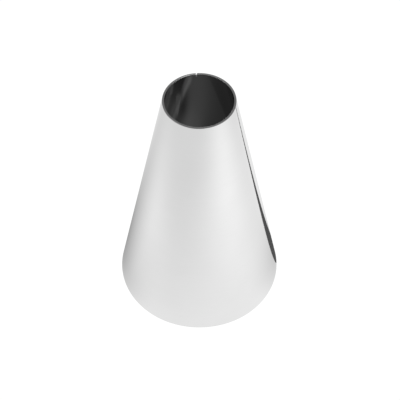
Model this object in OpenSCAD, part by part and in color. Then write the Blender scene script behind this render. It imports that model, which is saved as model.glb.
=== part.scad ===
// Plain round piping nozzle: one fan-shaped steel blank rolled into a cone,
// butted edge to edge and closed by a single straight weld.
// Frame: origin at the centre of the base rim's plane, +Z along the cone's axis
// towards the tip, and the seam in the +Y half of the YZ plane. Millimetres.

/* [Cone] */
// Height from the base rim to the tip rim
height = 50.8; // [40:0.1:60]
// Outside diameter of the cone at the base rim
base_d = 32.4; // [28:0.1:36]
// Inside diameter of the round opening in the tip
opening_d = 12.7; // [6:0.1:18]
// Thickness of the rolled sheet, square to its surface
sheet_t = 0.4; // [0.3:0.05:0.6]
// Height of the broken corners on both faces of each rim
edge_break = 0.06; // [0.02:0.01:0.1]

/* [Seam] */
// Gap between the sheet's two straight edges, which the weld fills
seam_gap = 0.2; // [0.1:0.05:0.4]
// Depth of the open notch at the tip rim, where the weld runs out
tip_notch = 0.55; // [0.1:0.05:1]
// Depth of the open notch at the base rim, where the weld starts
base_notch = 0.15; // [0.1:0.05:1]

/* [Hidden] */
$fn = 180;
base_r = base_d / 2;
opening_r = opening_d / 2;
// The half angle at which a sheet of this thickness just reaches from the base
// rim's outside corner to the tip rim's inside corner.
run = base_r - opening_r;
half_angle = acos(sheet_t / norm([run, height])) - atan2(height, run);
// Width of the sheet in a level section
wall_w = sheet_t / cos(half_angle);

function outer_r(z) = base_r - z * tan(half_angle);
function inner_r(z) = outer_r(z) - wall_w;

// Half section of the wall: two flat rims whose corners are broken.
function wall_section() = let (top = height - edge_break) [
    [inner_r(0) + edge_break, 0],
    [outer_r(0) - edge_break, 0],
    [outer_r(edge_break), edge_break],
    [outer_r(top), top],
    [outer_r(height) - edge_break, height],
    [inner_r(height) + edge_break, height],
    [inner_r(top), top],
    [inner_r(edge_break), edge_break]
];

// Half section of the sheet over the weld's length, between the two notches.
function weld_section() = let (z0 = base_notch, z1 = height - tip_notch) [
    [inner_r(z0), z0],
    [outer_r(z0), z0],
    [outer_r(z1), z1],
    [inner_r(z1), z1]
];

// Upright slab as wide as the seam gap, taller than the cone and on its +Y side.
module seam_slab() {
    translate([-seam_gap / 2, 0, -1]) cube([seam_gap, base_d, height + 2]);
}

// The sheet itself, open along the seam from rim to rim.
module rolled_wall() {
    color("silver") difference() {
        rotate_extrude() polygon(wall_section());
        seam_slab();
    }
}

// Filler between the two edges, dressed flush with both faces of the sheet.
module seam_weld() {
    color("darkgray") intersection() {
        rotate_extrude() polygon(weld_section());
        seam_slab();
    }
}

rolled_wall();
seam_weld();
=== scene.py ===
"""A plain round piping nozzle: a polished steel sheet rolled into a cone and closed by one weld.

The frame is the CAD model's: origin at the centre of the base rim's plane, +Z towards the tip,
the seam in the +Y half of the YZ plane. Everything here is in metres and radians, unless a name
says degrees. An azimuth is 0 towards -Y and grows towards +X.
"""

import math

import bpy
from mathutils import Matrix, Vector


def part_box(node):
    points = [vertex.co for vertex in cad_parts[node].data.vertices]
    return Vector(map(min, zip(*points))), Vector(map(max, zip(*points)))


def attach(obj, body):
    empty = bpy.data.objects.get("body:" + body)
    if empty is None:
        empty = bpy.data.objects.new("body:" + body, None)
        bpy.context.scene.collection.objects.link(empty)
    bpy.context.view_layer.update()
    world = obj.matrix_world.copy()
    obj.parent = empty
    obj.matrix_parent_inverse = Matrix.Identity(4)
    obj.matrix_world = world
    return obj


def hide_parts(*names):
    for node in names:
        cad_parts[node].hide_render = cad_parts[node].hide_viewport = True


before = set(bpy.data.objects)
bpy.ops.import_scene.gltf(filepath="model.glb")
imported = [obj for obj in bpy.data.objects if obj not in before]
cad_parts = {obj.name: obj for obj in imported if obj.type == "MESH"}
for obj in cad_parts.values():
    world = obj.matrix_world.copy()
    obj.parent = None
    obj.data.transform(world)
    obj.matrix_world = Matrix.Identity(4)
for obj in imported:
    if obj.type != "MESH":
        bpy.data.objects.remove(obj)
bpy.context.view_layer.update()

MM = 0.001

# The sheet, and the cone it is rolled into
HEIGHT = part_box("rolled_wall")[1].z
BASE_RADIUS = 16.2 * MM
OPENING_RADIUS = 6.35 * MM
SHEET = 0.4 * MM
RUN = BASE_RADIUS - OPENING_RADIUS
HALF_ANGLE = math.acos(SHEET / math.hypot(RUN, HEIGHT)) - math.atan2(HEIGHT, RUN)
LEVEL_SHEET = SHEET / math.cos(HALF_ANGLE)

# How far the tip rim's face leans from level towards square with the sheet
SQUARE_SHARE = 0.5

# The seam, between the notches at its two ends
SEAM_GAP = 0.2 * MM
WELD_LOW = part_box("seam_weld")[0].z
WELD_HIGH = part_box("seam_weld")[1].z

SOCKETS = {
    "GEOMETRY": "NodeSocketGeometry",
    "FLOAT": "NodeSocketFloat",
    "INT": "NodeSocketInt",
    "VECTOR": "NodeSocketVector",
    "COLOR": "NodeSocketColor",
    "MATERIAL": "NodeSocketMaterial",
}


# ---------------------------------------------------------------- node helpers


def new_tree(name, kind, inputs, outputs):
    """An empty node tree with named sockets, given as name: type.

    Gives back the tree, what comes in by its inputs, and the sockets that its results go to.
    """
    tree = bpy.data.node_groups.new(name, kind)
    for direction, sockets in (("INPUT", inputs), ("OUTPUT", outputs)):
        for label, socket_type in sockets.items():
            tree.interface.new_socket(label, in_out=direction, socket_type=SOCKETS[socket_type])
    return tree, tree.nodes.new("NodeGroupInput").outputs, tree.nodes.new("NodeGroupOutput").inputs


def add(tree, kind, inputs=(), **settings):
    """Adds a node. inputs maps its sockets, by name or place, to values or to other sockets."""
    node = tree.nodes.new(kind)
    for name, setting in settings.items():
        setattr(node, name, setting)
    for key, value in dict(inputs).items():
        if isinstance(value, bpy.types.NodeSocket):
            tree.links.new(value, node.inputs[key])
        else:
            node.inputs[key].default_value = value
    return node


def own_place(tree):
    """The X, Y and Z of each point that a geometry tree works on."""
    return parts_of(tree, add(tree, "GeometryNodeInputPosition").outputs[0])


def calc(tree, operation, *values):
    """The result of one Math node."""
    return add(tree, "ShaderNodeMath", dict(enumerate(values)), operation=operation).outputs[0]


def less(tree, value, taken):
    """One value less another."""
    return calc(tree, "SUBTRACT", value, taken)


def total(tree, *values):
    """The sum of several values."""
    result = values[0]
    for value in values[1:]:
        result = calc(tree, "ADD", result, value)
    return result


def product(tree, *values):
    """The product of several values."""
    result = values[0]
    for value in values[1:]:
        result = calc(tree, "MULTIPLY", result, value)
    return result


def remap(tree, value, low, high, to_low=0.0, to_high=1.0):
    """Moves a value from one range to another, with soft ends."""
    sockets = dict(enumerate((value, low, high, to_low, to_high)))
    return add(tree, "ShaderNodeMapRange", sockets, interpolation_type="SMOOTHSTEP").outputs[0]


def fade_out(tree, value, low, high):
    """1 up to low, falling softly to 0 at high."""
    return remap(tree, value, low, high, 1.0, 0.0)


def length_of(tree, x, y):
    """The length of a level vector."""
    return calc(tree, "SQRT", total(tree, product(tree, x, x), product(tree, y, y)))


def bell(tree, value, width):
    """A bell curve of a value: 1 at zero, a third at the width."""
    ratio = calc(tree, "DIVIDE", value, width)
    return calc(tree, "EXPONENT", product(tree, ratio, ratio, -1.0))


def parts_of(tree, vector):
    """The X, Y and Z of a vector."""
    return add(tree, "ShaderNodeSeparateXYZ", {0: vector}).outputs


def joined(tree, x, y, z):
    """A vector from its X, Y and Z."""
    return add(tree, "ShaderNodeCombineXYZ", {0: x, 1: y, 2: z}).outputs[0]


def scaled(tree, vector, scale):
    """A vector stretched along its own axes."""
    sockets = {0: vector, 1: scale}
    return add(tree, "ShaderNodeVectorMath", sockets, operation="MULTIPLY").outputs[0]


def blended(tree, amount, low, high):
    """A colour between two others."""
    sockets = {0: amount, 6: low, 7: high}
    return add(tree, "ShaderNodeMix", sockets, data_type="RGBA").outputs[2]


def noise(tree, place, scale, seed, detail):
    """Soft random values from 0 to 1, at this many per metre."""
    sockets = {"Vector": place, "W": seed, "Scale": scale, "Detail": detail}
    return add(tree, "ShaderNodeTexNoise", sockets, noise_dimensions="4D").outputs[0]


def stored(tree, geometry, name, value):
    """Keeps a value on the points under a name that the materials read."""
    sockets = {0: geometry, "Name": name, "Value": value}
    return add(
        tree, "GeometryNodeStoreNamedAttribute", sockets, data_type="FLOAT", domain="POINT"
    ).outputs[0]


def use_group(tree, group, values):
    """Places a shader node group, with this material's values on its named inputs."""
    return add(tree, "ShaderNodeGroup", values, node_tree=group).outputs


def plain_mesh(name, tree, values):
    """Runs a geometry tree with these input values, and leaves its result as a plain mesh."""
    host = bpy.data.objects.new(name + "_host", bpy.data.meshes.new(name + "_host"))
    bpy.context.scene.collection.objects.link(host)
    modifier = host.modifiers.new(name, "NODES")
    modifier.node_group = tree
    for socket in tree.interface.items_tree:
        if socket.in_out == "INPUT":
            modifier[socket.identifier] = values[socket.name]
    graph = bpy.context.evaluated_depsgraph_get()
    mesh = bpy.data.meshes.new_from_object(host.evaluated_get(graph), depsgraph=graph)
    bpy.data.objects.remove(host)
    mesh.name = name
    piece = bpy.data.objects.new(name, mesh)
    bpy.context.scene.collection.objects.link(piece)
    return piece


# ---------------------------------------------------------------- the rolled sheet's tree


def rolled_sheet_tree():
    """A flat blank, swept straight, then rolled round the axis until its edges face each other."""
    tree, given, result = new_tree(
        "rolled sheet",
        "GeometryNodeTree",
        {
            "Height": "FLOAT",
            "Base Radius": "FLOAT",
            "Half Angle": "FLOAT",
            "Level Width": "FLOAT",
            "Seam Gap": "FLOAT",
            "Edge Rounding": "FLOAT",
            "Tip Slope": "FLOAT",
            "Seam Calm": "FLOAT",
            "Wave Height": "FLOAT",
            "Waves Around": "FLOAT",
            "Wave Seed": "FLOAT",
            "Steps Around": "INT",
            "Steps Up": "INT",
            "Corner Steps": "INT",
            "Rim Crowding": "FLOAT",
            "Material": "MATERIAL",
        },
        {"Geometry": "GEOMETRY"},
    )
    section = add(
        tree,
        "GeometryNodeCurvePrimitiveQuadrilateral",
        {"Width": given["Level Width"], "Height": given["Height"]},
        mode="RECTANGLE",
    )
    rounded = add(
        tree,
        "GeometryNodeFilletCurve",
        {0: section.outputs[0], "Count": given["Corner Steps"], "Radius": given["Edge Rounding"]},
        mode="POLY",
    )
    fine = add(
        tree,
        "GeometryNodeSubdivideCurve",
        {0: rounded.outputs[0], "Cuts": long_side_cuts(tree, rounded.outputs[0], given)},
    )
    crowded = add(
        tree,
        "GeometryNodeSetPosition",
        {0: fine.outputs[0], "Position": crowded_to_rims(tree, given)},
    )
    slab = swept_straight(tree, crowded.outputs[0], given["Steps Around"])
    marked = mark_faces(tree, slab, given)
    rolled = add(
        tree,
        "GeometryNodeSetPosition",
        {0: marked, "Position": rolled_place(tree, given)},
    )
    finish_tree(tree, rolled.outputs[0], given["Material"], result)
    return tree


def swept_straight(tree, profile, steps):
    """The profile swept one metre along a straight line, closed at both ends."""
    line = add(tree, "GeometryNodeCurvePrimitiveLine", {"Start": (0, 0, 0), "End": (0, 0, 1)})
    stepped = add(
        tree, "GeometryNodeResampleCurve", {0: line.outputs[0], "Count": steps}, mode="COUNT"
    )
    swept = {0: stepped.outputs[0], 1: profile, "Fill Caps": True}
    return add(tree, "GeometryNodeCurveToMesh", swept).outputs[0]


def long_side_cuts(tree, curve, given):
    """Cuts for the two long sides of the section only: the rims and corners keep their points."""
    count = add(tree, "GeometryNodeAttributeDomainSize", {0: curve}, component="CURVE")
    index = add(tree, "GeometryNodeInputIndex").outputs[0]
    following = calc(tree, "MODULO", calc(tree, "ADD", index, 1), count.outputs["Point Count"])
    height_here = own_place(tree)[1]
    height_next = add(
        tree, "GeometryNodeFieldAtIndex", {0: height_here, 1: following}, data_type="FLOAT"
    ).outputs[0]
    step = calc(tree, "ABSOLUTE", less(tree, height_next, height_here))
    is_long = calc(tree, "GREATER_THAN", step, product(tree, given["Height"], 0.5))
    return product(tree, is_long, given["Steps Up"])


def crowded_to_rims(tree, given):
    """Moves the long sides' points towards the rims, so the shading is crisp where they round."""
    place = own_place(tree)
    reach = less(tree, product(tree, given["Height"], 0.5), given["Edge Rounding"])
    lowest = product(tree, reach, -1.0)
    straight = calc(tree, "MINIMUM", calc(tree, "MAXIMUM", place[1], lowest), reach)
    turn = product(tree, calc(tree, "DIVIDE", straight, reach), math.pi)
    pull = product(tree, calc(tree, "SINE", turn), reach, given["Rim Crowding"], 1 / math.pi)
    return joined(tree, place[0], calc(tree, "ADD", place[1], pull), place[2])


def mark_faces(tree, slab, given):
    """Stores how far through the sheet a point is, and its distance from the nearer rim."""
    place = own_place(tree)
    inside = less(tree, 0.5, calc(tree, "DIVIDE", place[0], given["Level Width"]))
    half = product(tree, given["Height"], 0.5)
    to_rim = less(tree, half, calc(tree, "ABSOLUTE", place[1]))
    return stored(tree, stored(tree, slab, "inside", inside), "to_rim", to_rim)


def rolled_place(tree, given):
    """Where a point of the straight slab goes once the sheet is rolled."""
    place = own_place(tree)
    inwards = less(tree, product(tree, given["Level Width"], 0.5), place[0])
    level = calc(tree, "ADD", place[1], product(tree, given["Height"], 0.5))
    narrowing = product(tree, level, calc(tree, "TANGENT", given["Half Angle"]))
    straight = less(tree, given["Base Radius"], total(tree, narrowing, inwards))

    # The blank's two ends stop half a gap short of the seam on either side
    half_gap = calc(tree, "DIVIDE", product(tree, given["Seam Gap"], 0.5), straight)
    gap_angle = calc(tree, "ARCSINE", half_gap)
    sweep = less(tree, math.tau, product(tree, gap_angle, 2.0))
    angle = calc(tree, "ADD", gap_angle, product(tree, place[2], sweep))
    sine = calc(tree, "SINE", angle)
    cosine = calc(tree, "COSINE", angle)

    # Rolling leaves the sheet a touch uneven, except where the seam was held true
    from_seam = product(tree, calc(tree, "SINE", product(tree, angle, 0.5)), straight)
    uneven = less(tree, 1.0, bell(tree, from_seam, given["Seam Calm"]))
    around = joined(tree, sine, cosine, level)
    wave = noise(tree, around, given["Waves Around"], given["Wave Seed"], detail=0.0)
    dent = product(tree, less(tree, wave, 0.5), given["Wave Height"], uneven)
    radius = calc(tree, "ADD", straight, dent)

    # The rim's face leans towards square with the sheet at the tip, and is level at the base
    share = calc(tree, "DIVIDE", level, given["Height"])
    drop = product(tree, inwards, given["Tip Slope"], share)
    return joined(
        tree,
        product(tree, radius, sine),
        product(tree, radius, cosine),
        less(tree, level, drop),
    )


def finish_tree(tree, geometry, material, result):
    """Smooth faces with true corners kept sharp, then the material."""
    sharp_from = math.radians(40)
    smooth = add(
        tree, "GeometryNodeSetShadeSmooth", {0: geometry, "Shade Smooth": True}, domain="FACE"
    )
    angle = add(tree, "GeometryNodeInputMeshEdgeAngle").outputs[0]
    sharp = add(tree, "FunctionNodeCompare", {0: angle, 1: sharp_from}, operation="GREATER_THAN")
    creased = add(
        tree,
        "GeometryNodeSetShadeSmooth",
        {0: smooth.outputs[0], "Selection": sharp.outputs[0], "Shade Smooth": False},
        domain="EDGE",
    )
    whole = add(tree, "GeometryNodeRealizeInstances", {0: creased.outputs[0]})
    painted = add(tree, "GeometryNodeSetMaterial", {0: whole.outputs[0], "Material": material})
    tree.links.new(painted.outputs[0], result[0])


# ---------------------------------------------------------------- the weld's tree


def weld_bead_tree():
    """A weld that fills the gap, spread a little over both faces and dressed almost flush."""
    tree, given, result = new_tree(
        "weld bead",
        "GeometryNodeTree",
        {
            "Low End": "FLOAT",
            "High End": "FLOAT",
            "Base Radius": "FLOAT",
            "Half Angle": "FLOAT",
            "Sheet": "FLOAT",
            "Neck Width": "FLOAT",
            "Squareness": "FLOAT",
            "Embedding": "FLOAT",
            "Cap Width": "FLOAT",
            "Cap Height": "FLOAT",
            "Root Width": "FLOAT",
            "Root Height": "FLOAT",
            "Ripple Pitch": "FLOAT",
            "Cap Ripple": "FLOAT",
            "Root Ripple": "FLOAT",
            "Ripple Bow": "FLOAT",
            "End Taper": "FLOAT",
            "End Fullness": "FLOAT",
            "Steps Along": "INT",
            "Steps Across": "INT",
            "Material": "MATERIAL",
        },
        {"Geometry": "GEOMETRY"},
    )
    ring = add(
        tree,
        "GeometryNodeCurvePrimitiveCircle",
        {"Resolution": given["Steps Across"], "Radius": 1.0},
        mode="RADIUS",
    )
    rod = swept_straight(tree, ring.outputs[0], given["Steps Along"])
    marked = stored(tree, rod, "inside", remap(tree, own_place(tree)[1], 0.5, -0.5))
    laid = add(
        tree,
        "GeometryNodeSetPosition",
        {0: marked, "Position": weld_place(tree, given)},
    )
    finish_tree(tree, laid.outputs[0], given["Material"], result)
    return tree


def squared(tree, value, power):
    """Pushes a sine or cosine towards plus or minus one, and keeps its sign."""
    size = calc(tree, "POWER", calc(tree, "ABSOLUTE", value), power)
    return product(tree, size, calc(tree, "SIGN", value))


def weld_place(tree, given):
    """Where a point of the plain rod goes: an hourglass section, laid along the seam."""
    rod = own_place(tree)
    across = squared(tree, rod[0], given["Squareness"])
    through = squared(tree, rod[1], given["Squareness"])
    rise = less(tree, given["High End"], given["Low End"])
    length = calc(tree, "DIVIDE", rise, calc(tree, "COSINE", given["Half Angle"]))
    along = product(tree, rod[2], length)

    # The ends sink to a shallow crater over the taper's length
    to_end = calc(tree, "MINIMUM", along, less(tree, length, along))
    body = remap(tree, to_end, 0.0, given["End Taper"], given["End Fullness"], 1.0)

    # It is as wide as the gap between the faces, and wider on them
    spread_starts = 0.1
    spread_full = 0.9
    on_cap = remap(tree, through, spread_starts, spread_full)
    on_root = remap(tree, through, -spread_starts, -spread_full)
    extra_cap = less(tree, given["Cap Width"], given["Neck Width"])
    extra_root = less(tree, given["Root Width"], given["Neck Width"])
    spread = total(tree, product(tree, on_cap, extra_cap), product(tree, on_root, extra_root))
    width = calc(tree, "ADD", given["Neck Width"], product(tree, spread, body))
    sideways = product(tree, across, width, 0.5)

    # The faces stand proud of the sheet by a crown with ripples on it
    to_toe = product(tree, across, across)
    scallop = rippled(tree, along, to_toe, given)
    crown = less(tree, 1.0, to_toe)
    cap = proud_by(tree, scallop, crown, on_cap, given["Cap Height"], given["Cap Ripple"])
    root = proud_by(tree, scallop, crown, on_root, given["Root Height"], given["Root Ripple"])
    half_sheet = product(tree, given["Sheet"], 0.5)
    embedded = product(tree, through, half_sheet, given["Embedding"])
    proud = product(tree, less(tree, cap, root), body)
    outwards = less(tree, calc(tree, "ADD", embedded, proud), half_sheet)
    return laid_on_cone(tree, sideways, along, outwards, given)


def rippled(tree, along, to_toe, given):
    """Bowed ripples, one behind the other, as the pool froze: from -0.5 to 0.5."""
    beat = total(
        tree,
        calc(tree, "DIVIDE", along, given["Ripple Pitch"]),
        product(tree, to_toe, given["Ripple Bow"]),
    )
    wave = calc(tree, "PINGPONG", beat, 0.5)
    return less(tree, product(tree, wave, 2.0), 0.5)


def proud_by(tree, scallop, crown, side, height, ripple):
    """How far one face of the weld stands off the sheet."""
    lift = calc(tree, "ADD", height, product(tree, scallop, ripple))
    return product(tree, lift, crown, side)


def laid_on_cone(tree, sideways, along, outwards, given):
    """Along the cone's generator line at the seam, and outwards along the wall's normal."""
    sine = calc(tree, "SINE", given["Half Angle"])
    cosine = calc(tree, "COSINE", given["Half Angle"])
    climb = calc(tree, "ADD", calc(tree, "DIVIDE", given["Low End"], cosine), along)
    radial = total(
        tree,
        less(tree, given["Base Radius"], product(tree, climb, sine)),
        product(tree, outwards, cosine),
    )
    level = total(tree, product(tree, climb, cosine), product(tree, outwards, sine))
    depth_squared = less(
        tree, product(tree, radial, radial), product(tree, sideways, sideways)
    )
    return joined(tree, sideways, calc(tree, "SQRT", depth_squared), level)


# ---------------------------------------------------------------- effects the metals share


def polish_group():
    """Fine polishing lines round the axis, over faint clouds: a colour, a roughness, a height."""
    tree, given, result = new_tree(
        "polish",
        "ShaderNodeTree",
        {
            "Place": "VECTOR",
            "Light Tone": "COLOR",
            "Dark Tone": "COLOR",
            "Cloud Size": "FLOAT",
            "Line Pitch": "FLOAT",
            "Line Stretch": "FLOAT",
            "Line Depth": "FLOAT",
            "Roughness": "FLOAT",
            "Roughness Spread": "FLOAT",
            "Seed": "FLOAT",
        },
        {"Color": "COLOR", "Roughness": "FLOAT", "Height": "FLOAT"},
    )
    cloud_scale = calc(tree, "DIVIDE", 1.0, given["Cloud Size"])
    clouds = noise(tree, given["Place"], cloud_scale, given["Seed"], detail=3.0)
    squeeze = calc(tree, "DIVIDE", 1.0, given["Line Stretch"])
    drawn_out = scaled(tree, given["Place"], joined(tree, squeeze, squeeze, 1.0))
    line_scale = calc(tree, "DIVIDE", 1.0, given["Line Pitch"])
    lines = noise(tree, drawn_out, line_scale, given["Seed"], detail=4.0)

    # Each noise is stretched to run from 0 to 1, then the two are mixed by share
    cloud = remap(tree, clouds, 0.35, 0.65)
    line = remap(tree, lines, 0.3, 0.7)
    mostly_cloud = total(tree, product(tree, cloud, 0.7), product(tree, line, 0.3))
    colour = blended(tree, mostly_cloud, given["Dark Tone"], given["Light Tone"])
    evenly_mixed = total(tree, product(tree, cloud, 0.6), product(tree, line, 0.4))
    spread = product(tree, less(tree, evenly_mixed, 0.5), given["Roughness Spread"])
    roughness = calc(tree, "ADD", given["Roughness"], spread)
    height = product(tree, line, given["Line Depth"])
    for socket, value in zip(result, (colour, roughness, height)):
        tree.links.new(value, socket)
    return tree


def scratch_group():
    """Sparse hairline scratches that lean across the surface, as a mask."""
    tree, given, result = new_tree(
        "scratches",
        "ShaderNodeTree",
        {
            "Place": "VECTOR",
            "Lean": "VECTOR",
            "Scratch Width": "FLOAT",
            "Scratch Length": "FLOAT",
            "Share": "FLOAT",
            "Seed": "FLOAT",
        },
        {"Mask": "FLOAT"},
    )
    sockets = {0: given["Place"], "Rotation": given["Lean"]}
    turned = add(tree, "ShaderNodeVectorRotate", sockets, rotation_type="EULER_XYZ").outputs[0]
    long_way = calc(tree, "DIVIDE", 1.0, given["Scratch Length"])
    short_way = calc(tree, "DIVIDE", 1.0, given["Scratch Width"])
    drawn_out = scaled(tree, turned, joined(tree, long_way, long_way, short_way))
    streaks = noise(tree, drawn_out, 1.0, given["Seed"], detail=0.0)
    patches = noise(tree, given["Place"], long_way, given["Seed"], detail=1.0)
    highest = 0.85
    border = 0.04
    limit = less(tree, highest, product(tree, given["Share"], patches))
    tree.links.new(remap(tree, less(tree, streaks, limit), 0.0, border), result[0])
    return tree


def band_group():
    """A strip with a ragged border, such as a dressed rim or seam, as a mask."""
    tree, given, result = new_tree(
        "band",
        "ShaderNodeTree",
        {
            "Place": "VECTOR",
            "Distance": "FLOAT",
            "Reach": "FLOAT",
            "Raggedness": "FLOAT",
            "Patch Size": "FLOAT",
            "Seed": "FLOAT",
        },
        {"Mask": "FLOAT"},
    )
    patch_scale = calc(tree, "DIVIDE", 1.0, given["Patch Size"])
    patches = noise(tree, given["Place"], patch_scale, given["Seed"], detail=3.0)
    ragged = product(tree, less(tree, patches, 0.5), given["Raggedness"], given["Reach"])
    away = calc(tree, "ADD", calc(tree, "ABSOLUTE", given["Distance"]), ragged)
    border = product(tree, given["Reach"], 0.5)
    tree.links.new(fade_out(tree, away, border, given["Reach"]), result[0])
    return tree


POLISH = polish_group()
SCRATCHES = scratch_group()
BAND = band_group()


# ---------------------------------------------------------------- materials


def new_metal(name):
    """A material with a metallic shader: its tree, the shader, and the piece's own coordinates."""
    material = bpy.data.materials.new(name)
    material.use_nodes = True
    tree = material.node_tree
    shader = tree.nodes["Principled BSDF"]
    shader.inputs["Metallic"].default_value = 1.0
    place = add(tree, "ShaderNodeTexCoord").outputs["Object"]
    return material, tree, shader, place


def grey(tone):
    """A neutral colour with this much light in it."""
    return (tone, tone, tone, 1.0)


def attribute(tree, name):
    """A value that the geometry stored on the piece's points."""
    return add(tree, "ShaderNodeAttribute", attribute_name=name).outputs["Fac"]


def finish_metal(tree, shader, colour, roughness, height):
    """Feeds the shader, with the height in metres."""
    bump = add(tree, "ShaderNodeBump", {"Height": height, "Distance": 1.0, "Strength": 1.0})
    tree.links.new(colour, shader.inputs["Base Color"])
    tree.links.new(roughness, shader.inputs["Roughness"])
    tree.links.new(bump.outputs[0], shader.inputs["Normal"])


def sheet_polish(tree, place):
    """The sheet's own bright finish."""
    values = {
        "Place": place,
        "Light Tone": grey(0.625),
        "Dark Tone": grey(0.61),
        "Cloud Size": 9 * MM,
        "Line Pitch": 0.3 * MM,
        "Line Stretch": 24.0,
        "Line Depth": 0.00012 * MM,
        "Roughness": 0.05,
        "Roughness Spread": 0.03,
        "Seed": 1.0,
    }
    return use_group(tree, POLISH, values)


def sheet_scratches(tree, place):
    """A few long hairlines from use."""
    values = {
        "Place": place,
        "Lean": (0.5, 0.3, 0.0),
        "Scratch Width": 0.1 * MM,
        "Scratch Length": 7 * MM,
        "Share": 0.2,
        "Seed": 4.0,
    }
    return use_group(tree, SCRATCHES, values)["Mask"]


def dressed_rims(tree, place):
    """Both rims, where the cut edge was ground."""
    values = {
        "Place": place,
        "Distance": attribute(tree, "to_rim"),
        "Reach": 0.3 * MM,
        "Raggedness": 0.5,
        "Patch Size": 0.8 * MM,
        "Seed": 7.0,
    }
    return use_group(tree, BAND, values)["Mask"]


def dressed_seam(tree, place, inside):
    """The strip beside the weld, where it was ground flush: at the back, and outside only."""
    x, y = parts_of(tree, place)[:2]
    values = {
        "Place": place,
        "Distance": x,
        "Reach": 1.4 * MM,
        "Raggedness": 0.9,
        "Patch Size": 2.5 * MM,
        "Seed": 9.0,
    }
    strip = use_group(tree, BAND, values)["Mask"]
    behind = calc(tree, "GREATER_THAN", y, 0.0)
    return product(tree, strip, behind, fade_out(tree, inside, 0.2, 0.8))


def polished_sheet():
    """Bright polished stainless sheet: a little duller inside, with dressed rims and seam."""
    material, tree, shader, place = new_metal("polished stainless sheet")
    inside = attribute(tree, "inside")
    polish = sheet_polish(tree, place)
    scratches = sheet_scratches(tree, place)
    rim = dressed_rims(tree, place)
    seam = dressed_seam(tree, place, inside)

    scratch_roughness = 0.12
    rim_roughness = 0.1
    seam_roughness = 0.12
    inside_roughness = 0.03
    scratch_depth = 0.0004 * MM
    seam_tone = grey(0.58)
    rim_tone = grey(0.6)

    roughness = total(
        tree,
        polish["Roughness"],
        product(tree, scratches, scratch_roughness),
        product(tree, rim, rim_roughness),
        product(tree, seam, seam_roughness),
        product(tree, inside, inside_roughness),
    )
    colour = blended(tree, rim, blended(tree, seam, polish["Color"], seam_tone), rim_tone)
    height = less(tree, polish["Height"], product(tree, scratches, scratch_depth))
    finish_metal(tree, shader, colour, roughness, height)
    return material


def weld_polish(tree, place):
    """A greyer, softer finish than the sheet's."""
    values = {
        "Place": place,
        "Light Tone": grey(0.57),
        "Dark Tone": grey(0.5),
        "Cloud Size": 1.5 * MM,
        "Line Pitch": 0.12 * MM,
        "Line Stretch": 3.0,
        "Line Depth": 0.0003 * MM,
        "Roughness": 0.2,
        "Roughness Spread": 0.1,
        "Seed": 2.0,
    }
    return use_group(tree, POLISH, values)


def weld_scratches(tree, place):
    """Short marks of the dressing, across the seam."""
    values = {
        "Place": place,
        "Lean": (1.4, 0.2, 0.0),
        "Scratch Width": 0.06 * MM,
        "Scratch Length": 2 * MM,
        "Share": 0.3,
        "Seed": 5.0,
    }
    return use_group(tree, SCRATCHES, values)["Mask"]


def weld_toes(tree, place):
    """The two lines where the weld's face meets the sheet."""
    toe_place = 0.22 * MM
    aside = calc(tree, "ABSOLUTE", parts_of(tree, place)[0])
    values = {
        "Place": place,
        "Distance": less(tree, aside, toe_place),
        "Reach": 0.06 * MM,
        "Raggedness": 0.8,
        "Patch Size": 0.5 * MM,
        "Seed": 8.0,
    }
    return use_group(tree, BAND, values)["Mask"]


def weld_metal():
    """Stainless filler, dressed and polished over; inside it is as bright as the sheet."""
    material, tree, shader, place = new_metal("dressed weld metal")
    inside = attribute(tree, "inside")
    outer = less(tree, 1.0, inside)
    polish = weld_polish(tree, place)
    scratches = weld_scratches(tree, place)
    toes = product(tree, weld_toes(tree, place), outer)

    scratch_roughness = 0.1
    toe_roughness = 0.15
    inside_roughness = 0.08
    scratch_depth = 0.0005 * MM
    toe_tone = grey(0.4)
    inside_tone = grey(0.62)

    outer_colour = blended(tree, toes, polish["Color"], toe_tone)
    colour = blended(tree, inside, outer_colour, inside_tone)
    outer_roughness = total(
        tree,
        polish["Roughness"],
        product(tree, scratches, scratch_roughness),
        product(tree, toes, toe_roughness),
    )
    roughness = total(
        tree,
        product(tree, outer_roughness, outer),
        product(tree, inside, inside_roughness),
    )
    outer_height = less(tree, polish["Height"], product(tree, scratches, scratch_depth))
    finish_metal(tree, shader, colour, roughness, product(tree, outer_height, outer))
    return material


# ---------------------------------------------------------------- the nozzle


def make_wall():
    """The rolled sheet."""
    values = {
        "Height": HEIGHT,
        "Base Radius": BASE_RADIUS,
        "Half Angle": HALF_ANGLE,
        "Level Width": LEVEL_SHEET,
        "Seam Gap": SEAM_GAP,
        "Edge Rounding": 0.06 * MM,
        "Tip Slope": SQUARE_SHARE * math.tan(HALF_ANGLE),
        "Seam Calm": 1.5 * MM,
        "Wave Height": 0.02 * MM,
        "Waves Around": 2.5,
        "Wave Seed": 3.0,
        "Steps Around": 320,
        "Steps Up": 40,
        "Corner Steps": 7,
        "Rim Crowding": 0.95,
        "Material": polished_sheet(),
    }
    piece = plain_mesh("nozzle_wall", rolled_sheet_tree(), values)
    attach(piece, "root")
    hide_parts("rolled_wall")


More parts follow.
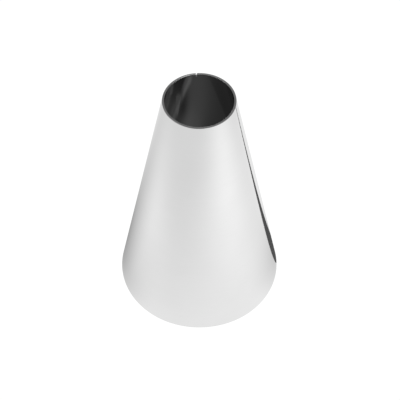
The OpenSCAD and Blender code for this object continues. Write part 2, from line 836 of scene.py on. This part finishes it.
def make_weld():
    """The seam's filler."""
    values = {
        "Low End": WELD_LOW,
        "High End": WELD_HIGH,
        "Base Radius": BASE_RADIUS,
        "Half Angle": HALF_ANGLE,
        "Sheet": SHEET,
        "Neck Width": SEAM_GAP,
        "Squareness": 0.25,
        "Embedding": 0.99,
        "Cap Width": 0.45 * MM,
        "Cap Height": 0.012 * MM,
        "Root Width": 0.3 * MM,
        "Root Height": 0.003 * MM,
        "Ripple Pitch": 0.3 * MM,
        "Cap Ripple": 0.004 * MM,
        "Root Ripple": 0.001 * MM,
        "Ripple Bow": 0.6,
        "End Taper": 0.3 * MM,
        "End Fullness": 0.35,
        "Steps Along": 900,
        "Steps Across": 36,
        "Material": weld_metal(),
    }
    piece = plain_mesh("nozzle_weld", weld_bead_tree(), values)
    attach(piece, "root")
    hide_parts("seam_weld")


# ---------------------------------------------------------------- the studio: sizes and angles

# Angles here are in degrees
CAMERA_AZIMUTH = -4.6
CAMERA_ELEVATION = 52.28
CAMERA_DISTANCE = 275.4 * MM
CAMERA_LENS = 125.4
SENSOR_WIDTH = 36.0
NEAREST_SEEN = 0.01
FARTHEST_SEEN = 50.0
AIM_ASIDE = 0.14 * MM
AIM_HEIGHT = 21.32 * MM

# How bright the camera sees the table and the wall behind it: just past white
BACKDROP = 1.05

# The light tent: soft windows between grey panels stand low round the table
PANEL_LIGHT = 0.2
WINDOWS = (
    {"centre": 46, "half": 26, "soft": 24, "strength": 1.3},
    {"centre": -62, "half": 16, "soft": 22, "strength": 0.85},
    {"centre": -176, "half": 14, "soft": 18, "strength": 0.8},
)
LOW_WALL_TOP = 14
LOW_WALL_END = 24
UPPER_LIGHT = 0.06
BACK_WALL_LIGHT = 0.18

# The table: an even light, and the reach of the glow and shadows painted on it near the nozzle
EVEN_LIGHT = 1.056
NEAR_GLOW = 0.097
NEAR_GLOW_REACH = 12.4 * MM
CONTACT_SHADOW = 0.53
CONTACT_REACH = 7.2 * MM
CONTACT_STARTS = 43
CONTACT_FULL = 103
CAST_SHADOW = 0.623
CAST_REACH = 26.0 * MM
CAST_AZIMUTH = -160.7
TENT_STARTS = 0.09
TENT_ALONE = 0.3

# The light and shade painted on the table inside the nozzle
INSIDE_LIGHT = 0.031
INSIDE_FRONT = 0.036
INSIDE_RIGHT_GLOW = 0.07
INSIDE_BACK_GLOW = 0.05

# The dark strip on the table, hidden from the camera
CARD_LIFT = 0.03 * MM
CARD_START = 14.3 * MM
CARD_START_AZIMUTH = 91.7
CARD_AHEAD_AZIMUTH = 134.9
CARD_ASIDE_AZIMUTH = 44.9
CARD_LENGTH = 62 * MM
CARD_START_HALF = 2.8 * MM
CARD_END_HALF = 1.3 * MM
CARD_LIGHT = 0.1


def towards(azimuth, elevation):
    """The unit vector that points this way, both in degrees."""
    azimuth = math.radians(azimuth)
    elevation = math.radians(elevation)
    return Vector(
        (
            math.sin(azimuth) * math.cos(elevation),
            -math.cos(azimuth) * math.cos(elevation),
            math.sin(elevation),
        )
    )


def place_camera():
    """A long lens that looks down at the nozzle, aimed a little beside its axis."""
    camera = bpy.data.objects.new("camera", bpy.data.cameras.new("camera"))
    bpy.context.scene.collection.objects.link(camera)
    bpy.context.scene.camera = camera
    camera.data.lens = CAMERA_LENS
    camera.data.sensor_width = SENSOR_WIDTH
    camera.data.clip_start = NEAREST_SEEN
    camera.data.clip_end = FARTHEST_SEEN
    aim = towards(CAMERA_AZIMUTH + 90, 0) * AIM_ASIDE + Vector((0, 0, AIM_HEIGHT))
    back = towards(CAMERA_AZIMUTH, CAMERA_ELEVATION)
    camera.location = aim + back * CAMERA_DISTANCE
    camera.rotation_euler = (-back).to_track_quat("-Z", "Y").to_euler()


# ---------------------------------------------------------------- the studio: light and shade painted by formula


def azimuth_of(tree, x, y):
    """The azimuth, in radians, of a level direction."""
    return calc(tree, "ARCTAN2", x, product(tree, y, -1.0))


def turn_from(tree, azimuth, centre):
    """The angle in degrees, either way round, between an azimuth and a centre in degrees."""
    offset = less(tree, azimuth, math.radians(centre))
    wrapped = calc(tree, "WRAP", offset, math.pi, -math.pi)
    return product(tree, calc(tree, "ABSOLUTE", wrapped), math.degrees(1))


def sector(tree, azimuth, centre, full_to, gone_at):
    """A soft sector round the axis: how far from its centre it is full, and where it ends."""
    return fade_out(tree, turn_from(tree, azimuth, centre), full_to, gone_at)


def fading(tree, clear, reach):
    """Falls from 1 as the distance from the nozzle grows."""
    return calc(tree, "EXPONENT", calc(tree, "DIVIDE", clear, -reach))


def pool(tree, x, y, azimuth, distance, width, strength):
    """A soft round pool of light painted on the table, or of painted shade if its strength is
    negative.
    """
    centre = towards(azimuth, 0) * distance
    away = length_of(tree, less(tree, x, centre.x), less(tree, y, centre.y))
    return product(tree, bell(tree, away, width), strength)


def tent_light(tree, azimuth):
    """How bright the light tent's wall is, round the table."""
    light = PANEL_LIGHT
    for window in WINDOWS:
        ends = window["half"] + window["soft"]
        share = sector(tree, azimuth, window["centre"], window["half"], ends)
        light = calc(tree, "ADD", product(tree, share, window["strength"]), light)
    return light


def outside_light(tree, x, y, radius, azimuth):
    """Light and shade painted on the white table round the nozzle, as the metal mirrors it: an
    even light, a glow at the foot, two pools of light, a contact shadow and a cast shadow, and far
    off the tent wall's light.
    """
    clear = calc(tree, "MAXIMUM", less(tree, radius, BASE_RADIUS), 0.0)
    # A painted glow at the foot, and two painted pools of light
    glow = product(tree, fading(tree, clear, NEAR_GLOW_REACH), NEAR_GLOW)
    key_pool = pool(
        tree, x, y, azimuth=48.6, distance=63.8 * MM, width=48.4 * MM, strength=0.357
    )
    fill_pool = pool(
        tree, x, y, azimuth=-84.2, distance=44.3 * MM, width=26.5 * MM, strength=0.17
    )
    # A painted contact shadow near the nozzle's foot, away from the front
    contact = product(
        tree,
        remap(tree, turn_from(tree, azimuth, 0), CONTACT_STARTS, CONTACT_FULL),
        fading(tree, clear, CONTACT_REACH),
        CONTACT_SHADOW,
    )
    # A painted cast shadow behind the nozzle
    behind = product(
        tree,
        sector(tree, azimuth, CAST_AZIMUTH, full_to=24, gone_at=83),
        fading(tree, clear, CAST_REACH),
        CAST_SHADOW,
    )
    near = product(
        tree,
        total(tree, EVEN_LIGHT, glow, key_pool, fill_pool),
        less(tree, 1.0, contact),
        less(tree, 1.0, behind),
    )
    far_share = remap(tree, radius, TENT_STARTS, TENT_ALONE)
    return total(
        tree,
        product(tree, near, less(tree, 1.0, far_share)),
        product(tree, tent_light(tree, azimuth), far_share),
    )


def inside_light(tree, x, y, radius, azimuth):
    """Light and shade painted on the table inside the nozzle, where real light would only fall
    through the tip: a dim level, a glow at the front, a pool, a dip and two bright edges, which
    the metal mirrors as glints in the opening.
    """
    front = product(tree, sector(tree, azimuth, 10, full_to=5, gone_at=145), INSIDE_FRONT)
    # A painted pool of light and a painted dip of shade
    middle = pool(tree, x, y, azimuth=85.7, distance=6.96 * MM, width=4.7 * MM, strength=0.069)
    dip = pool(tree, x, y, azimuth=79.4, distance=9.88 * MM, width=4.4 * MM, strength=-0.06)
    # Two painted bright edges, which the metal mirrors as glints
    right_edge_glow = product(
        tree,
        remap(tree, radius, 13.1 * MM, 14.7 * MM),
        sector(tree, azimuth, 60.8, full_to=12, gone_at=32),
        INSIDE_RIGHT_GLOW,
    )
    back_edge_glow = product(
        tree,
        remap(tree, radius, 11.5 * MM, 14.5 * MM),
        sector(tree, azimuth, 118.8, full_to=6, gone_at=20),
        INSIDE_BACK_GLOW,
    )
    return total(tree, INSIDE_LIGHT, front, middle, dip, right_edge_glow, back_edge_glow)


def lamp(tree, direction, centre, half, soft, strength):
    """A soft round lamp overhead, its sizes in degrees."""
    sockets = {0: direction, 1: centre}
    dot = add(tree, "ShaderNodeVectorMath", sockets, operation="DOT_PRODUCT").outputs["Value"]
    away = product(tree, calc(tree, "ARCCOSINE", dot), math.degrees(1))
    return product(tree, fade_out(tree, away, half, half + soft), strength)


# ---------------------------------------------------------------- the studio: its parts


def stage_sheet(name, corners):
    """A flat sheet that only shines: the object and its empty material."""
    mesh = bpy.data.meshes.new(name)
    mesh.from_pydata(corners, [], [(0, 1, 2, 3)])
    sheet = bpy.data.objects.new(name, mesh)
    bpy.context.scene.collection.objects.link(sheet)
    material = bpy.data.materials.new(name + " surface")
    material.use_nodes = True
    material.cycles.emission_sampling = "NONE"
    material.node_tree.nodes.remove(material.node_tree.nodes["Principled BSDF"])
    mesh.materials.append(material)
    return sheet, material.node_tree


def shine(tree, strength):
    """Makes a stage sheet's surface nothing but light of this strength."""
    glow = add(tree, "ShaderNodeEmission", {"Strength": strength})
    tree.links.new(glow.outputs[0], tree.nodes["Material Output"].inputs["Surface"])


def seen_by_camera(tree):
    """1 where the camera looks straight at the stage, and 0 where the metal mirrors it."""
    return add(tree, "ShaderNodeLightPath").outputs["Is Camera Ray"]


def make_floor():
    """The table: white to the camera, and to the metal and inside the nozzle a glow with light and
    shade painted on by formula.
    """
    size = 4.0
    corners = [(-size, -size, 0), (size, -size, 0), (size, size, 0), (-size, size, 0)]
    floor, tree = stage_sheet("floor", corners)
    x, y = parts_of(tree, add(tree, "ShaderNodeTexCoord").outputs["Object"])[:2]
    radius = length_of(tree, x, y)
    azimuth = azimuth_of(tree, x, y)
    outside = outside_light(tree, x, y, radius, azimuth)
    within = inside_light(tree, x, y, radius, azimuth)
    covered = calc(tree, "LESS_THAN", radius, BASE_RADIUS - LEVEL_SHEET / 2)
    sockets = {0: seen_by_camera(tree), 2: outside, 3: BACKDROP}
    shown = add(tree, "ShaderNodeMix", sockets).outputs[0]
    shine(tree, add(tree, "ShaderNodeMix", {0: covered, 2: shown, 3: within}).outputs[0])


def make_dark_card():
    """A narrow dark strip that lies on the table, glowing faintly and hidden from the camera, and
    shows in the bright metal as one dark line.
    """
    start = towards(CARD_START_AZIMUTH, 0) * CARD_START
    end = start + towards(CARD_AHEAD_AZIMUTH, 0) * CARD_LENGTH
    aside = towards(CARD_ASIDE_AZIMUTH, 0)
    up = Vector((0, 0, CARD_LIFT))
    corners = [
        start - aside * CARD_START_HALF + up,
        start + aside * CARD_START_HALF + up,
        end + aside * CARD_END_HALF + up,
        end - aside * CARD_END_HALF + up,
    ]
    card, tree = stage_sheet("dark card", corners)
    card.visible_camera = False
    shine(tree, CARD_LIGHT)


def make_tent():
    """The world: white to the camera, and to the metal a light tent with two lamps overhead."""
    world = bpy.data.worlds.new("light tent")
    bpy.context.scene.world = world
    world.use_nodes = True
    tree = world.node_tree
    direction = add(tree, "ShaderNodeTexCoord").outputs["Generated"]
    x, y, z = parts_of(tree, direction)
    azimuth = azimuth_of(tree, x, y)
    elevation = product(tree, calc(tree, "ARCSINE", z), math.degrees(1))
    low = product(
        tree,
        tent_light(tree, azimuth),
        fade_out(tree, elevation, LOW_WALL_TOP, LOW_WALL_END),
    )
    behind = product(
        tree,
        sector(tree, azimuth, 180, full_to=60, gone_at=110),
        remap(tree, elevation, LOW_WALL_TOP, LOW_WALL_END),
        BACK_WALL_LIGHT,
    )
    right_lamp = lamp(tree, direction, towards(168, 61), half=2.5, soft=2, strength=0.8)
    left_lamp = lamp(tree, direction, towards(-174, 60), half=1.5, soft=2, strength=0.4)
    light = total(tree, low, behind, right_lamp, left_lamp, UPPER_LIGHT)
    room = add(tree, "ShaderNodeBackground", {"Color": grey(1.0), "Strength": light})
    backdrop = add(tree, "ShaderNodeBackground", {"Color": grey(1.0), "Strength": BACKDROP})
    sockets = {0: seen_by_camera(tree), 1: room.outputs[0], 2: backdrop.outputs[0]}
    mixed = add(tree, "ShaderNodeMixShader", sockets)
    tree.links.new(mixed.outputs[0], tree.nodes["World Output"].inputs["Surface"])


place_camera()
make_floor()
make_dark_card()
make_tent()
make_wall()
make_weld()

bpy.context.scene.view_settings.view_transform = "Standard"
